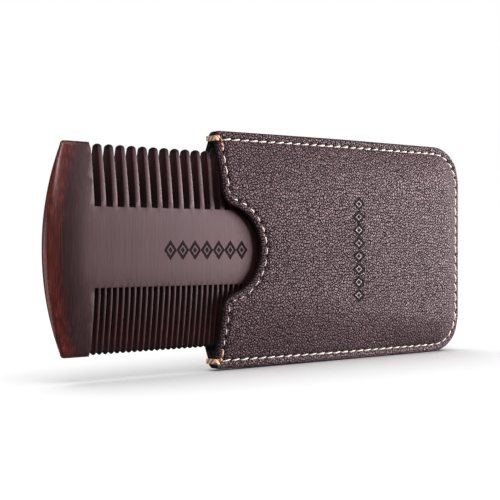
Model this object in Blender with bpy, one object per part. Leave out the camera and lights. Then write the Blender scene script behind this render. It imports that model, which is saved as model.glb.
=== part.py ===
"""Two-sided wooden beard comb, half drawn out of its stitched leather sleeve.

The sleeve stands on its long bottom edge. +X runs into the sleeve, -Y faces
the front panel with the thumb notch, +Z is up, and the origin is the middle of
the whole object's footprint. Lengths are in millimetres until a mesh is made.
"""
import math

import bmesh
import bpy
from mathutils import Vector
from mathutils.geometry import delaunay_2d_cdt

MM = 0.001

# Sleeve outline
SLEEVE_LENGTH = 105.0
SLEEVE_HEIGHT = 69.8
CLOSED_CORNER_RADIUS = 13.0
MOUTH_CORNER_RADIUS = 1.8
NOTCH_RADIUS = 13.0
NOTCH_DEPTH = 13.4
NOTCH_FILLET = 5.0

# Comb outline
COMB_LENGTH = 98.8
COMB_HEIGHT = 57.0
COMB_LIFT = 0.3
END_BOW = 5.5
GUARD_CHAMFER = 1.2
TOOTH_ZONE = 72.3
TOOTH_SETBACK = 0.3

# Comb thickness
SPINE_HALF = 4.0
EDGE_HALF = 1.5
SPINE_FLAT = 6.0
TAPER_POWER = 1.5
TIP_HALF = 0.5
END_REACH = 11.0

# How far the comb stands out of the mouth in the rest pose
COMB_OUT = 53.3

MOUTH_X = COMB_OUT - (COMB_OUT + SLEEVE_LENGTH) / 2.0
CLOSED_X = MOUTH_X + SLEEVE_LENGTH
MID_Z = SLEEVE_HEIGHT / 2.0
NOTCH_X = MOUTH_X + NOTCH_DEPTH - NOTCH_RADIUS
COMB_X = MOUTH_X - COMB_OUT + COMB_LENGTH / 2.0
COMB_Z = MID_Z + COMB_LIFT

# Sleeve wall, from the middle plane outwards
HALF_GAP = 0.15
LINING = 0.45
GLUE_GAP = 0.25
LEATHER = 0.9
TURNED_EDGE = 1.0
LINING_SETBACK = 1.4

# Sleeve bulge around the comb
FLANGE = 2.6
FOOT_SOFTNESS = 1.0
FOOT_POWER = 1.6
CLOSED_REACH = 9.0
CLOSED_DEPTH = 4.3
FRONT_MOUTH = {"depth": 5.0, "reach": 20.0}
BACK_MOUTH = {"depth": 4.3, "reach": 12.0}
FRONT = -1
BACK = 1

# Stitching
STITCH_MARGIN = 2.4
THREAD_WIDTH = 0.6
THREAD_HEIGHT = 0.4
THREAD_CLEARANCE = 0.3
SEAM_START = 5.6
MOUTH_STITCH_START = 4.6
BARTACK_LEG = 2.4
BARTACK_HEIGHT = 2.0
BARTACK_THICKNESS = 0.5
BARTACK_CLEARANCE = 0.25

# Facet sizes
ARC_STEP = math.radians(15.0)
STRAIGHT_STEP = 9.0
FOOT_ROWS = (2.9, 4.4, 6.6, 9.5, 13.5, 19.0, 26.5)
SLOPE_PROBE = 0.05

COARSE = {"count": 20, "root_width": 1.60, "neck_width": 1.15, "root": 11.3, "tip_cut": 0.75}
FINE = {"count": 39, "root_width": 0.75, "neck_width": 0.52, "root": 10.2, "tip_cut": 1.30}


def clear_scene():
    for old in list(bpy.data.objects):
        bpy.data.objects.remove(old, do_unlink=True)


def finish_material(name, colour, roughness):
    """Principled material of one plain finish."""
    material = bpy.data.materials.new(name)
    material.use_nodes = True
    shader = material.node_tree.nodes["Principled BSDF"]
    shader.inputs["Base Color"].default_value = (*colour, 1.0)
    shader.inputs["Roughness"].default_value = roughness
    shader.inputs["Metallic"].default_value = 0.0
    material.diffuse_color = (*colour, 1.0)
    return material


# ---------------------------------------------------------------- outlines

def mix(low, high, share):
    return low + (high - low) * share


def smooth(share):
    share = min(max(share, 0.0), 1.0)
    return share * share * (3.0 - 2.0 * share)


def arc(centre, radius, start, end, step=ARC_STEP):
    """Points on an arc, both ends included; start and end are in radians."""
    count = max(2, math.ceil(abs(end - start) / step))
    angles = [mix(start, end, i / count) for i in range(count + 1)]
    return [(centre[0] + radius * math.cos(a), centre[1] + radius * math.sin(a)) for a in angles]


def with_straights(stretches, closed=True, step=STRAIGHT_STEP):
    """Join stretches of points, adding points along the straight runs between them."""
    points = []
    following = stretches[1:] + stretches[:1]
    for stretch, after in zip(stretches, following):
        points += stretch
        if after is stretches[0] and not closed:
            break
        start, end = stretch[-1], after[0]
        count = max(1, round(math.dist(start, end) / step))
        points += [(mix(start[0], end[0], i / count), mix(start[1], end[1], i / count))
                   for i in range(1, count)]
    return points


def closed_end(inset):
    """The two corners of the closed end, from the bottom edge to the top one."""
    radius = CLOSED_CORNER_RADIUS - inset
    if radius <= 0.0:
        return [[(CLOSED_X - inset, inset)], [(CLOSED_X - inset, SLEEVE_HEIGHT - inset)]]
    across = CLOSED_X - CLOSED_CORNER_RADIUS
    low = arc((across, CLOSED_CORNER_RADIUS), radius, -math.pi / 2, 0.0)
    high = arc((across, SLEEVE_HEIGHT - CLOSED_CORNER_RADIUS), radius, 0.0, math.pi / 2)
    return [low, high]


def mouth_corner(inset, top):
    """A small round corner of the mouth, in counter-clockwise order."""
    radius = MOUTH_CORNER_RADIUS - inset
    height = SLEEVE_HEIGHT - MOUTH_CORNER_RADIUS if top else MOUTH_CORNER_RADIUS
    start = math.pi / 2 if top else math.pi
    centre = (MOUTH_X + MOUTH_CORNER_RADIUS, height)
    return arc(centre, radius, start, start + math.pi / 2, math.radians(45.0))


def notch(inset):
    """Thumb notch with its two filleted corners, from the top fillet to the bottom one."""
    ahead = MOUTH_X + NOTCH_FILLET - NOTCH_X
    rise = math.sqrt((NOTCH_RADIUS + NOTCH_FILLET) ** 2 - ahead ** 2)
    turn = math.atan2(rise, ahead)
    fillet = NOTCH_FILLET - inset
    top = arc((MOUTH_X + NOTCH_FILLET, MID_Z + rise), fillet, math.pi, math.pi + turn, math.radians(20.0))
    hollow = arc((NOTCH_X, MID_Z), NOTCH_RADIUS + inset, turn, -turn)
    low = arc((MOUTH_X + NOTCH_FILLET, MID_Z - rise), fillet, math.pi - turn, math.pi, math.radians(20.0))
    return [top + hollow[1:-1] + low]


def panel_outline(side, inset):
    stretches = [mouth_corner(inset, top=False)] + closed_end(inset) + [mouth_corner(inset, top=True)]
    if side == FRONT:
        stretches += notch(inset)
    return with_straights(stretches)


# ------------------------------------------------------------ sleeve shape

def sewn_distance(x, z):
    """Distance inwards from the three sewn sides, round corners included."""
    to_end = CLOSED_X - x
    to_long = min(z, SLEEVE_HEIGHT - z)
    if to_end < CLOSED_CORNER_RADIUS and to_long < CLOSED_CORNER_RADIUS:
        return CLOSED_CORNER_RADIUS - math.hypot(
            CLOSED_CORNER_RADIUS - to_end, CLOSED_CORNER_RADIUS - to_long)
    return min(to_end, to_long)


def bulge(side, x, z):
    """How far a panel's inner face stands off the flange, a soft foot and a flat crown."""
    mouth = FRONT_MOUTH if side == FRONT else BACK_MOUTH
    along = smooth((x - MOUTH_X) / SLEEVE_LENGTH)
    inward = sewn_distance(x, z) - FLANGE
    softened = 0.5 * (inward + math.hypot(inward, FOOT_SOFTNESS))
    climbed = min(softened / mix(mouth["reach"], CLOSED_REACH, along), 1.0)
    return mix(mouth["depth"], CLOSED_DEPTH, along) * (1.0 - (1.0 - climbed) ** FOOT_POWER)


def wall_face(side, x, z, out):
    """World y of the surface that lies `out` from the panel's inner face, square to it."""
    here = bulge(side, x, z)
    slope_x = (bulge(side, x + SLOPE_PROBE, z) - here) / SLOPE_PROBE
    slope_z = (bulge(side, x, z + SLOPE_PROBE) - here) / SLOPE_PROBE
    return side * (HALF_GAP + here + out * math.sqrt(1.0 + slope_x ** 2 + slope_z ** 2))


def far_from(point, loop, distance):
    """True if the point is inside the loop and at least `distance` from its edge."""
    x, z = point
    inside = False
    for (ax, az), (bx, bz) in zip(loop, loop[1:] + loop[:1]):
        length = math.dist((ax, az), (bx, bz))
        share = ((x - ax) * (bx - ax) + (z - az) * (bz - az)) / length ** 2
        share = min(max(share, 0.0), 1.0)
        if math.dist(point, (mix(ax, bx, share), mix(az, bz, share))) < distance:
            return False
        if (az > z) != (bz > z) and x < ax + (z - az) * (bx - ax) / (bz - az):
            inside = not inside
    return inside


def wall_points():
    """Points over a panel, in U-shaped rows that are close together where the bulge rises."""
    start = MOUTH_X + 4.0
    points = []
    for row in FOOT_ROWS:
        ends = [[(start, row)], [(start, SLEEVE_HEIGHT - row)]]
        points += with_straights([ends[0]] + closed_end(row) + [ends[1]], closed=False)
    return points + with_straights([[(start, MID_Z)], [(CLOSED_X - MID_Z, MID_Z)]], closed=False)


# ------------------------------------------------------------------ meshes

def make_object(name, bm, material, parent, smooth_angle=None):
    bmesh.ops.recalc_face_normals(bm, faces=bm.faces[:])
    mesh = bpy.data.meshes.new(name)
    bm.to_mesh(mesh)
    bm.free()
    if smooth_angle is not None:
        mesh.shade_smooth()
        mesh.set_sharp_from_angle(angle=math.radians(smooth_angle))
    mesh.materials.append(material)
    piece = bpy.data.objects.new(name, mesh)
    piece.parent = parent
    bpy.context.scene.collection.objects.link(piece)
    return piece


def slab(loops, fill, faces_at):
    """Closed solid between two surfaces over a flat outline.

    loops[0] is the outline and the others are rings inside it. faces_at(x, z, ring)
    gives the two y values of a point, with ring None for a point of the fill.
    """
    flat, rings, edges = [], [], []
    for ring, loop in enumerate(loops):
        start = len(flat)
        flat += [Vector(point) for point in loop]
        rings += [ring] * len(loop)
        edges += [(start + i, start + (i + 1) % len(loop)) for i in range(len(loop))]
    flat += [Vector(point) for point in fill]
    rings += [None] * len(fill)
    outline = list(range(len(loops[0])))
    points, _, triangles, origins, _, _ = delaunay_2d_cdt(flat, edges, [outline], 1, 1e-5)

    bm = bmesh.new()
    near, far = [], []
    for point, origin in zip(points, origins):
        y_near, y_far = faces_at(point.x, point.y, rings[origin[0]])
        near.append(bm.verts.new((point.x * MM, y_near * MM, point.y * MM)))
        far.append(bm.verts.new((point.x * MM, y_far * MM, point.y * MM)))
    sides = {}
    for triangle in triangles:
        bm.faces.new([near[i] for i in triangle])
        bm.faces.new([far[i] for i in reversed(triangle)])
        for a, b in zip(triangle, triangle[1:] + triangle[:1]):
            key = (min(a, b), max(a, b))
            sides[key] = sides.get(key, 0) + 1
    for (a, b), uses in sides.items():
        if uses == 1:
            bm.faces.new((near[a], near[b], far[b], far[a]))
    loose = [vert for vert in bm.verts if not vert.link_faces]
    bmesh.ops.delete(bm, geom=loose, context="VERTS")
    return bm


def ribbon(path, faces_at):
    """Flat closed strip along an open path, between the two y values of each of its sides."""
    bm = bmesh.new()
    rings = []
    for i, (x, z) in enumerate(path):
        before, after = path[max(i - 1, 0)], path[min(i + 1, len(path) - 1)]
        run = math.dist(before, after)
        across = ((after[1] - before[1]) / run, (before[0] - after[0]) / run)
        ring = []
        for offset in (THREAD_WIDTH / 2, -THREAD_WIDTH / 2):
            px, pz = x + across[0] * offset, z + across[1] * offset
            low, high = faces_at(px, pz)
            pair = [bm.verts.new((px * MM, y * MM, pz * MM)) for y in (low, high)]
            ring += pair if offset > 0 else pair[::-1]
        rings.append(ring)
    for a, b in zip(rings, rings[1:]):
        for i in range(4):
            j = (i + 1) % 4
            bm.faces.new((a[i], a[j], b[j], b[i]))
    bm.faces.new(rings[0])
    bm.faces.new(rings[-1])
    return bm


# ------------------------------------------------------------ sleeve parts

def make_leather(name, side, material, parent):
    """Leather panel whose edge is turned inwards over the lining's edge."""
    outer = LINING + GLUE_GAP + LEATHER
    loops = [panel_outline(side, 0.0), panel_outline(side, TURNED_EDGE), panel_outline(side, LINING_SETBACK)]
    fill = [point for point in wall_points() if far_from(point, loops[-1], 1.0)]

    def faces_at(x, z, ring):
        inner = 0.0 if ring == 0 else LINING + GLUE_GAP
        return wall_face(side, x, z, inner), wall_face(side, x, z, outer)

    return make_object(name, slab(loops, fill, faces_at), material, parent, 30.0)


def make_lining(name, side, material, parent):
    """Thin lining against the comb, inside the leather's turned edge."""
    loop = panel_outline(side, LINING_SETBACK)
    fill = [point for point in wall_points() if far_from(point, loop, 1.0)]

    def faces_at(x, z, ring):
        return wall_face(side, x, z, 0.0), wall_face(side, x, z, LINING)

    return make_object(name, slab([loop], fill, faces_at), material, parent, 30.0)


def thread_faces(side):
    """Lower and upper y of a thread that lies on a panel's outer face."""
    base = LINING + GLUE_GAP + LEATHER + THREAD_CLEARANCE
    return lambda x, z: (wall_face(side, x, z, base), wall_face(side, x, z, base + THREAD_HEIGHT))


def make_seam_thread(name, side, material, parent):
    """Thread of the seam that closes the three sewn sides."""
    start = MOUTH_X + SEAM_START
    low = [(start, STITCH_MARGIN)]
    high = [(start, SLEEVE_HEIGHT - STITCH_MARGIN)]
    path = with_straights([low] + closed_end(STITCH_MARGIN) + [high], closed=False)
    return make_object(name, ribbon(path, thread_faces(side)), material, parent)


def mouth_path(side):
    """Line of the mouth's own stitches, which follow the notch on the front panel."""
    x = MOUTH_X + STITCH_MARGIN
    ends = [[(x, MOUTH_STITCH_START)], [(x, SLEEVE_HEIGHT - MOUTH_STITCH_START)]]
    if side == BACK:
        return with_straights(ends, closed=False, step=4.0)
    radius = NOTCH_RADIUS + STITCH_MARGIN
    turn = math.acos((x - NOTCH_X) / radius)
    hollow = arc((NOTCH_X, MID_Z), radius, -turn, turn, math.radians(10.0))
    return with_straights([ends[0], hollow, ends[1]], closed=False, step=3.0)


def make_mouth_thread(name, side, material, parent):
    """Thread that holds the mouth's turned edge down."""
    return make_object(name, ribbon(mouth_path(side), thread_faces(side)), material, parent)


def make_bartack(name, height, material, parent):
    """Tight wrap of thread round the mouth's edge, where front and back panels part."""
    tip = MOUTH_X + BARTACK_LEG
    hollow = MOUTH_X - BARTACK_CLEARANCE
    outside = hollow - BARTACK_THICKNESS
    innermost = min(height, SLEEVE_HEIGHT - height) + BARTACK_HEIGHT / 2
    panel = LINING + GLUE_GAP + LEATHER + BARTACK_CLEARANCE
    front, back = (wall_face(side, tip, innermost, panel) for side in (FRONT, BACK))
    section = [(tip, front - BARTACK_THICKNESS), (tip, front), (hollow, front), (hollow, back),
               (tip, back), (tip, back + BARTACK_THICKNESS),
               (outside, back + BARTACK_THICKNESS), (outside, front - BARTACK_THICKNESS)]
    bm = bmesh.new()
    corners = [bm.verts.new((x * MM, y * MM, (height - BARTACK_HEIGHT / 2) * MM)) for x, y in section]
    face = bm.faces.new(corners)
    made = bmesh.ops.extrude_face_region(bm, geom=[face])
    lifted = [item for item in made["geom"] if isinstance(item, bmesh.types.BMVert)]
    bmesh.ops.translate(bm, verts=lifted, vec=(0.0, 0.0, BARTACK_HEIGHT * MM))
    return make_object(name, bm, material, parent)


# -------------------------------------------------------------------- comb

def tooth(middle, style, sign):
    """One tooth's outline from its left root to its right root, with a rounded tip."""
    root = sign * style["root"]
    tip = sign * (COMB_HEIGHT / 2 - TOOTH_SETBACK)
    neck = tip - sign * style["tip_cut"]
    centre = (root + neck) / 2.0
    root_half = style["root_width"] / 2.0
    neck_half = style["neck_width"] / 2.0
    middle_half = (root_half + neck_half) / 2.0
    left = [(-root_half, root), (-middle_half, centre), (-neck_half, neck)]
    right = [(-u, w) for u, w in reversed(left)]
    return [(middle + u, w) for u, w in left + [(0.0, tip)] + right]


def tooth_row(style, sign):
    """All the teeth of one edge, left to right, with the guards' inner corners."""
    gap = (TOOTH_ZONE - style["count"] * style["root_width"]) / (style["count"] + 1)
    pitch = gap + style["root_width"]
    first = -TOOTH_ZONE / 2 + gap + style["root_width"] / 2
    edge = sign * COMB_HEIGHT / 2
    guard_root = sign * style["root"]
    row = [(-TOOTH_ZONE / 2, edge), (-TOOTH_ZONE / 2, guard_root)]
    for number in range(style["count"]):
        row += tooth(first + number * pitch, style, sign)
    return row + [(TOOTH_ZONE / 2, guard_root), (TOOTH_ZONE / 2, edge)]


def end_bow(w):
    """How far the bowed end has drawn back at height w from the comb's middle."""
    half = COMB_HEIGHT / 2
    radius = (half ** 2 + END_BOW ** 2) / (2 * END_BOW)
    return radius - math.sqrt(radius ** 2 - w ** 2)


def comb_outline():
    """Counter-clockwise outline of the comb about its own middle."""
    half = COMB_HEIGHT / 2
    count = 10
    heights = [mix(-half + GUARD_CHAMFER, half - GUARD_CHAMFER, i / count) for i in range(count + 1)]
    right_end = [(COMB_LENGTH / 2 - end_bow(w), w) for w in heights]
    corner = COMB_LENGTH / 2 - END_BOW - GUARD_CHAMFER
    right = [(corner, -half)] + right_end + [(corner, half)]
    left = [(-u, -w) for u, w in right]
    fine = tooth_row(FINE, -1)
    coarse = list(reversed(tooth_row(COARSE, 1)))
    return fine + right + coarse + left


def comb_half(u, w):
    """Half the comb's thickness, which thins from the spine to both toothed edges and bows at the ends."""
    out = max(abs(w) - SPINE_FLAT, 0.0) / (COMB_HEIGHT / 2 - SPINE_FLAT)
    half = mix(SPINE_HALF, EDGE_HALF, min(out, 1.0) ** TAPER_POWER)
    from_end = COMB_LENGTH / 2 - end_bow(w) - abs(u)
    nose = min(max(from_end / END_REACH, 0.0), 1.0)
    return half * math.sqrt(max(1.0 - (1.0 - nose) ** 2, 0.0))


def comb_points(outline):
    """Points inside the comb, close together on its round ends."""
    points = []
    for w in (0.0, 4.5, 8.5, 13.0, 18.0, 23.0, 27.4):
        for from_end in (0.4, 1.5, 3.8, 7.2, 11.5):
            u = COMB_LENGTH / 2 - end_bow(w) - from_end
            points += [(u, w), (-u, w), (u, -w), (-u, -w)]
    spine = 8
    columns = [mix(-TOOTH_ZONE / 2, TOOTH_ZONE / 2, i / spine) for i in range(spine + 1)]
    points += [(u, w) for u in columns for w in (-6.0, 0.0, 6.0)]
    return [point for point in dict.fromkeys(points) if far_from(point, outline, 0.3)]


def make_comb(name, material, parent):
    outline = comb_outline()

    def faces_at(u, w, ring):
        half = max(comb_half(u, w), TIP_HALF)
        if ring == 0 and abs(w) > COMB_HEIGHT / 2 - GUARD_CHAMFER / 2:
            half = TIP_HALF
        return -half, half

    piece = make_object(name, slab([outline], comb_points(outline), faces_at), material, parent, 30.0)
    return piece


def make_empty(name, place):
    empty = bpy.data.objects.new(name, None)
    empty.location = place
    bpy.context.scene.collection.objects.link(empty)
    return empty


def build():
    clear_scene()
    leather = finish_material("pebbled_leather", (0.045, 0.030, 0.034), 0.55)
    lining = finish_material("dark_suede_lining", (0.015, 0.011, 0.012), 0.95)
    thread = finish_material("cream_thread", (0.80, 0.74, 0.68), 0.7)
    copper = finish_material("copper_brown_thread", (0.55, 0.25, 0.12), 0.6)
    wood = finish_material("red_sandalwood", (0.075, 0.030, 0.026), 0.5)

    sleeve = make_empty("sleeve_frame", (0.0, 0.0, 0.0))
    make_leather("front_leather", FRONT, leather, sleeve)
    make_leather("back_leather", BACK, leather, sleeve)
    make_lining("front_lining", FRONT, lining, sleeve)
    make_lining("back_lining", BACK, lining, sleeve)
    make_seam_thread("seam_thread_front", FRONT, thread, sleeve)
    make_seam_thread("seam_thread_back", BACK, thread, sleeve)
    make_mouth_thread("mouth_thread_front", FRONT, thread, sleeve)
    make_mouth_thread("mouth_thread_back", BACK, thread, sleeve)
    make_bartack("bartack_top", SLEEVE_HEIGHT - STITCH_MARGIN, copper, sleeve)
    make_bartack("bartack_bottom", STITCH_MARGIN, copper, sleeve)

    slide = make_empty("comb_slide_axis", (COMB_X * MM, 0.0, COMB_Z * MM))
    make_comb("wooden_comb", wood, slide)


build()
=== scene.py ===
# %% [markdown]
# # A wooden beard comb in its leather sleeve
# The comb is one piece of red sandalwood, sawn with coarse teeth on one edge and fine
# teeth on the other. It is half drawn out of a sleeve made of two leather panels, each
# with a thin lining, sewn together on three sides. The CAD model holds the sizes and the
# motion, and this script dresses it: it reads the frame, then makes every surface again
# with its fine detail.

# %% Load the frame
import math

import bpy
import numpy as np
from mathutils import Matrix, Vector
from mathutils.geometry import delaunay_2d_cdt


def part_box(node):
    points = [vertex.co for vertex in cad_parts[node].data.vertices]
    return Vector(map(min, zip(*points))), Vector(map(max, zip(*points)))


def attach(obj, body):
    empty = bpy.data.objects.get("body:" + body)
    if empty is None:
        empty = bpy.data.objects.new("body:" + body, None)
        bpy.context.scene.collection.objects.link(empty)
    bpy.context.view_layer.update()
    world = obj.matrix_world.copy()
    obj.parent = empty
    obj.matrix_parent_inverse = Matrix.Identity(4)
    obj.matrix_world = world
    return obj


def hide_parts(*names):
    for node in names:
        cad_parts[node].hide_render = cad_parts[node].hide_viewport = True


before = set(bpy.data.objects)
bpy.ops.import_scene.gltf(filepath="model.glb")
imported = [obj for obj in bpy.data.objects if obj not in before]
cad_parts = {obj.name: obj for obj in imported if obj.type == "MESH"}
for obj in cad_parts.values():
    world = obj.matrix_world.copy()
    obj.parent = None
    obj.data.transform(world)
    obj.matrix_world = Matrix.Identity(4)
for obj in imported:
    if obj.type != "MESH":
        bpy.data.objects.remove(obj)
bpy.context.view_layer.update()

# %% [markdown]
# ## Sizes
# The two boxes of the leather panel and the comb give every place. The script works in
# millimetres, as a leather worker would, and turns them to metres where a mesh is made.
# The radii are not in the frame, so they are written here.

# %% Sizes from the frame
MM = 0.001
panel_low, panel_high = (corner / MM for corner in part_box("front_leather"))
comb_low, comb_high = (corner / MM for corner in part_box("wooden_comb"))

MOUTH_X, CLOSED_X = panel_low.x, panel_high.x
LENGTH, HEIGHT = CLOSED_X - MOUTH_X, panel_high.z
MID_Z = HEIGHT / 2
COMB_X, COMB_Z = (comb_low.x + comb_high.x) / 2, (comb_low.z + comb_high.z) / 2
COMB_LENGTH, COMB_HEIGHT = comb_high.x - comb_low.x, comb_high.z - comb_low.z
SPINE_HALF = comb_high.y

CLOSED_RADIUS = 13.0
MOUTH_RADIUS = 1.8
NOTCH_RADIUS = 13.0
NOTCH_DEPTH = 13.4
NOTCH_FILLET = 5.0
NOTCH_X = MOUTH_X + NOTCH_DEPTH - NOTCH_RADIUS
print(f"sleeve {LENGTH:.1f} x {HEIGHT:.1f} mm, comb {COMB_LENGTH:.1f} x {COMB_HEIGHT:.1f} mm")

# %% [markdown]
# ## Camera, light and floor
# The comb is looked at from the side of the sleeve's mouth, at 37.5 degrees to the
# panel's face, with a short portrait lens at the height of the comb's middle. The
# set is a white sweep. Product light of this kind comes from large soft boxes: one in
# front and to the right, one low at the left that draws the highlight on the comb's
# round end, and little from above, which keeps the top edges dark. A weak one behind
# shows the back panel.

# %% Camera
VIEW_ANGLE = math.radians(37.5)
VIEW_DISTANCE = 299.0
VIEW_ASIDE = 11.2
EYE_HEIGHT = 36.2
EYE_PITCH = math.radians(0.25)
LENS = 74.6
SENSOR = 36.0


def placed(name, data):
    """New object in the scene, at the origin."""
    made = bpy.data.objects.new(name, data)
    bpy.context.scene.collection.objects.link(made)
    return made


ahead = Vector((math.sin(VIEW_ANGLE), math.cos(VIEW_ANGLE), 0.0))
aside = Vector((math.cos(VIEW_ANGLE), -math.sin(VIEW_ANGLE), 0.0))
eye = Vector((MOUTH_X, 0.0, EYE_HEIGHT)) - ahead * VIEW_DISTANCE + aside * VIEW_ASIDE
camera = placed("camera", bpy.data.cameras.new("camera"))
camera.data.lens = LENS
camera.data.sensor_width = SENSOR
camera.data.clip_start = 0.01
camera.location = eye * MM
camera.rotation_euler = (math.pi / 2 - EYE_PITCH, 0.0, -VIEW_ANGLE)
bpy.context.scene.camera = camera
print("camera stands", round((eye * MM).length, 3), "m from the origin")

# %% Soft boxes
# azimuth to the right of the panel's face and elevation in degrees, distance and size in
# metres, power in watts
SOFT_BOXES = {"right_box": (47.0, 6.0, 0.85, 0.50, 6.9),
              "right_near_box": (70.0, 8.0, 0.33, 0.18, 1.8),
              "upper_box": (5.0, 50.0, 0.85, 0.45, 1.7),
              "left_box": (-97.0, -12.0, 0.70, 0.50, 2.1),
              "left_upper_box": (-38.0, 30.0, 0.80, 0.12, 1.5),
              "back_box": (150.0, 10.0, 0.85, 0.50, 3.0)}


def soft_box(name, azimuth, elevation, distance, size, power):
    """Square area light that looks at the middle of the object."""
    lamp = bpy.data.lights.new(name, "AREA")
    lamp.shape = "SQUARE"
    lamp.size = size
    lamp.energy = power
    azimuth, elevation = math.radians(azimuth), math.radians(elevation)
    level = distance * math.cos(elevation)
    place = Vector((level * math.sin(azimuth), -level * math.cos(azimuth),
                    MID_Z * MM + distance * math.sin(elevation)))
    box = placed(name, lamp)
    box.location = place
    aim = Vector((0.0, 0.0, MID_Z * MM)) - place
    box.rotation_euler = aim.to_track_quat("-Z", "Y").to_euler()
    return box


object_lights = [soft_box(name, *values) for name, values in SOFT_BOXES.items()]
print("soft boxes:", [box.name for box in object_lights])

# %% [markdown]
# The white of a product picture is made apart from the light on the product: one wide
# lamp straight above lights the paper and nothing else, the soft boxes leave the paper
# alone, and the paper throws no light back, so that the undersides stay dark.

# %% White sweep
FLOOR_SIZE = 6.0
ROOM_LIGHT = 0.22
world = bpy.data.worlds.new("white_sweep")
bpy.context.scene.world = world
world.use_nodes = True
sky = world.node_tree.nodes["Background"]
sky.inputs["Color"].default_value = (1.0, 1.0, 1.0, 1.0)
seen = world.node_tree.nodes.new("ShaderNodeLightPath").outputs["Is Camera Ray"]
level = world.node_tree.nodes.new("ShaderNodeMath")
level.operation = "MULTIPLY_ADD"
level.inputs[1].default_value = 1.0 - ROOM_LIGHT
level.inputs[2].default_value = ROOM_LIGHT
world.node_tree.links.new(seen, level.inputs[0])
world.node_tree.links.new(level.outputs[0], sky.inputs["Strength"])
bpy.context.scene.view_settings.view_transform = "Standard"

half = FLOOR_SIZE / 2
floor_mesh = bpy.data.meshes.new("floor")
floor_mesh.from_pydata([(-half, -half, 0), (half, -half, 0), (half, half, 0), (-half, half, 0)],
                       [], [(0, 1, 2, 3)])
floor = placed("floor", floor_mesh)
floor.visible_diffuse = False
floor.visible_glossy = False

# %% Light for the paper only
PAPER_POWER = 3.15
PAPER_SPREAD = math.radians(85.0)
paper_lamp = bpy.data.lights.new("paper_lamp", "SUN")
paper_lamp.energy = PAPER_POWER
paper_lamp.angle = PAPER_SPREAD
paper_light = placed("paper_lamp", paper_lamp)
paper = bpy.data.collections.new("paper")
paper.objects.link(floor)
paper_light.light_linking.receiver_collection = paper
not_paper = bpy.data.collections.new("not_paper")
not_paper.objects.link(floor)
not_paper.collection_objects[0].light_linking.link_state = "EXCLUDE"
for box in object_lights:
    box.light_linking.receiver_collection = not_paper

# %% [markdown]
# ## Helpers for nodes
# Every tree below, for shading and for geometry, is made with one function that adds a
# node. A colour is written as the sRGB hex value that a colour picker shows.

# %% Node helper and colours
MATH, RAMP, MIX = "ShaderNodeMath", "ShaderNodeValToRGB", "ShaderNodeMix"


def feed(tree, node, inputs):
    """Fills inputs, by name or in order, with values, outputs, or nodes for their first output."""
    for key, value in inputs.items() if isinstance(inputs, dict) else enumerate(inputs):
        if isinstance(value, bpy.types.Node):
            value = value.outputs[0]
        if isinstance(value, bpy.types.NodeSocket):
            tree.links.new(value, node.inputs[key])
        else:
            node.inputs[key].default_value = value
    return node


def add(tree, kind, inputs=(), stops=(), **settings):
    """Adds a node with its settings and inputs and, on a colour ramp, (position, hex) stops."""
    made = tree.nodes.new(kind)
    for key, value in settings.items():
        setattr(made, key, value)
    for number, (position, code) in enumerate(stops):
        elements = made.color_ramp.elements
        stop = elements[number] if number < 2 else elements.new(position)
        stop.position, stop.color = position, colour(code)
    return feed(tree, made, inputs)


def colour(code):
    """Linear RGBA from an sRGB hex value."""
    channels = [int(code[i:i + 2], 16) / 255 for i in (1, 3, 5)]
    linear = [c / 12.92 if c <= 0.04045 else ((c + 0.055) / 1.055) ** 2.4 for c in channels]
    return (*linear, 1.0)


def new_material(name, **fixed):
    """Material with one Principled shader, whose fixed values sit on its own sockets."""
    material = bpy.data.materials.new(name)
    material.use_nodes = True
    tree = material.node_tree
    shader = tree.nodes["Principled BSDF"]
    for key, value in fixed.items():
        shader.inputs[key.replace("_", " ")].default_value = value
    return material, tree, shader


def painted(tree, base, layers, mode="MIX"):
    """A colour with (mask, colour) layers laid over it, one after another."""
    for mask, over in layers:
        over = colour(over) if isinstance(over, str) else over
        base = add(tree, MIX, {0: mask, 6: base, 7: over}, data_type="RGBA", blend_type=mode)
        base = base.outputs[2]
    return base


PAPER_WHITE = (0.92, 0.92, 0.92, 1.0)
floor_mesh.materials.append(new_material("white_paper", Roughness=0.9, Base_Color=PAPER_WHITE)[0])

# %% [markdown]
# ## One ornament for both
# The comb and the sleeve carry the same simple mark, a chain of lozenges with a dot in
# each. It is burnt into the wood and pressed into the leather. A distance along the
# chain and a distance from its middle line are all that it needs.

# %% Chain of lozenges
LOZENGE = 4.1
LOZENGE_HALF_HEIGHT = 2.7
LINE_AT, LINE_HALF = 0.80, 0.25
DOT_REACH = 0.34
WHOLE_REACH = 1.05


def lozenge_chain(tree, place, axes, middles, lozenges):
    """Masks of a chain along the first of two axes: its lines and dots, and its whole."""
    apart = add(tree, "ShaderNodeSeparateXYZ", {"Vector": place})
    along, across = [add(tree, MATH, (apart.outputs[axis], middle * MM), operation="SUBTRACT")
                     for axis, middle in zip(axes, middles)]
    steps = add(tree, MATH, (along, LOZENGE * MM), operation="DIVIDE")
    shifted = add(tree, MATH, (steps, lozenges / 2 + 0.5), operation="ADD")
    in_step = add(tree, MATH, (shifted, 0.5), operation="PINGPONG")
    beside = add(tree, MATH, (across,), operation="ABSOLUTE")
    level = add(tree, MATH, (beside, LOZENGE_HALF_HEIGHT * MM), operation="DIVIDE")
    far = add(tree, MATH, (in_step, 2.0, level), operation="MULTIPLY_ADD")
    line = add(tree, MATH, (far, LINE_AT, LINE_HALF), operation="COMPARE")
    dot = add(tree, MATH, (far, DOT_REACH), operation="LESS_THAN")
    whole = add(tree, MATH, (far, WHOLE_REACH), operation="LESS_THAN")
    drawn = add(tree, MATH, (line, dot), operation="MAXIMUM")
    inside = add(tree, MATH, (steps, 0.0, lozenges / 2), operation="COMPARE")
    return [add(tree, MATH, (mask, inside), operation="MULTIPLY") for mask in (drawn, whole)]


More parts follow.
